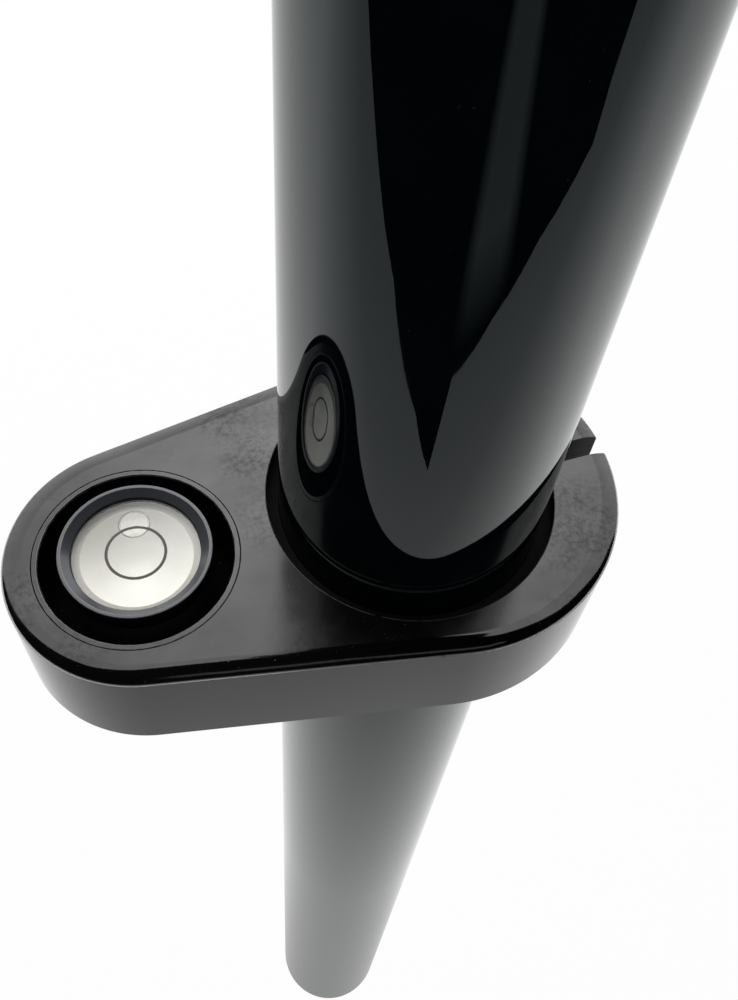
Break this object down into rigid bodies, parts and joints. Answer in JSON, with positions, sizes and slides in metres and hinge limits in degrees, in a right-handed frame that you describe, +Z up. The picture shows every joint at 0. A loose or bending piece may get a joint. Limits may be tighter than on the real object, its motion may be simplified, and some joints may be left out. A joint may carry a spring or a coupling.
{
  "type": "survey rover pole",
  "caption": "Telescopic survey pole with twist locks, a pointed foot, a threaded antenna stud and a clamp-on bracket that carries a round bubble level.",
  "frame": {"origin": "tip of the ground point", "axes": "+Z up the pole, -X towards the bubble level"},
  "size_m": [0.0741, 0.045, 0.8206],
  "materials": {
    "tube_gloss": "gloss clear coat over fibre tube",
    "black_alloy": "black anodised",
    "bare_alloy": "satin turned",
    "steel": "turned and ground",
    "collar_plastic": "moulded, fluted",
    "bearing_plastic": "natural moulded",
    "liner_rubber": "matt black",
    "bracket_plastic": "satin moulded",
    "vial_dark": "dark anodised",
    "vial_white": "white moulded",
    "vial_clear": "clear polished",
    "mark_ink": "printed",
    "screw_zinc": "plain steel",
    "air": "air in liquid"
  },
  "bodies": {
    "pole": {"outer_tube": "tube_gloss", "foot_insert": "bare_alloy", "point_body": "bare_alloy", "steel_tip": "steel", "lower_ferrule": "black_alloy", "lower_collet": "bearing_plastic"},
    "lower_lock": {"lower_lock_collar": "collar_plastic"},
    "mid_section": {"mid_tube": "tube_gloss", "mid_glide": "bearing_plastic", "upper_ferrule": "black_alloy", "upper_collet": "bearing_plastic"},
    "upper_lock": {"upper_lock_collar": "collar_plastic"},
    "top_section": {"top_tube": "tube_gloss", "top_glide": "bearing_plastic", "head_adapter": "black_alloy", "antenna_stud": "steel"},
    "level_sleeve": {"clamp_liner": "liner_rubber"},
    "level_bracket": {"level_body": "bracket_plastic", "level_cover": "bracket_plastic", "vial_bezel": "bracket_plastic", "clamp_nut": "screw_zinc", "vial_ring": "liner_rubber"},
    "jaw_screw": {"clamp_screw": "screw_zinc"},
    "level_vial": {"vial_case": "vial_dark", "vial_bowl": "vial_white", "vial_glass": "vial_clear", "vial_mark": "mark_ink"},
    "vial_bubble": {"bubble": "air"},
    "level_screw_1": {"adjusting_screw_1": "screw_zinc"},
    "level_screw_2": {"adjusting_screw_2": "screw_zinc"},
    "level_screw_3": {"adjusting_screw_3": "screw_zinc"}
  },
  "joints": [
    {"name": "lower_lock_turn", "type": "hinge", "parent": "pole", "child": "lower_lock", "pos_m": [0, 0, 0.704], "axis": [0, 0, 1], "range_deg": [0, 150]},
    {"name": "mid_section_slide", "type": "slide", "parent": "pole", "child": "mid_section", "axis": [0, 0, 1], "range_m": [0, 0.45]},
    {"name": "upper_lock_turn", "type": "hinge", "parent": "mid_section", "child": "upper_lock", "pos_m": [0, 0, 0.757], "axis": [0, 0, 1], "range_deg": [0, 150]},
    {"name": "top_section_slide", "type": "slide", "parent": "mid_section", "child": "top_section", "axis": [0, 0, 1], "range_m": [0, 0.45]},
    {"name": "level_slide", "type": "slide", "parent": "pole", "child": "level_sleeve", "axis": [0, 0, 1], "range_m": [-0.27, 0.25]},
    {"name": "level_turn", "type": "hinge", "parent": "level_sleeve", "child": "level_bracket", "pos_m": [0, 0, 0.39], "axis": [0, 0, 1], "continuous": true},
    {"name": "clamp_screw_turn", "type": "hinge", "parent": "level_bracket", "child": "jaw_screw", "pos_m": [0.02097, 0, 0.39], "axis": [0, 1, 0], "range_deg": [0, 360]},
    {"name": "vial_tilt", "type": "hinge", "parent": "level_bracket", "child": "level_vial", "pos_m": [-0.03343, -0.003, 0.39065], "axis": [1, 0, 0], "range_deg": [-0.5, 0.5]},
    {"name": "bubble_drift", "type": "slide", "parent": "level_vial", "child": "vial_bubble", "axis": [-0.1392, -0.9903, 0], "range_m": [0, 0.00872]},
    {"name": "adjusting_screw_1_turn", "type": "hinge", "parent": "level_bracket", "child": "level_screw_1", "pos_m": [-0.03343, 0.006, 0.384], "axis": [0, 0, -1], "range_deg": [-70, 70]},
    {"name": "adjusting_screw_2_turn", "type": "hinge", "parent": "level_bracket", "child": "level_screw_2", "pos_m": [-0.03863, -0.003, 0.384], "axis": [0, 0, -1], "range_deg": [-70, 70]},
    {"name": "adjusting_screw_3_turn", "type": "hinge", "parent": "level_bracket", "child": "level_screw_3", "pos_m": [-0.02823, -0.003, 0.384], "axis": [0, 0, -1], "range_deg": [-70, 70]}
  ],
  "couplings": [
    {"joint": "vial_tilt", "follows": "adjusting_screw_1_turn", "ratio": 0.007074}
  ]
}
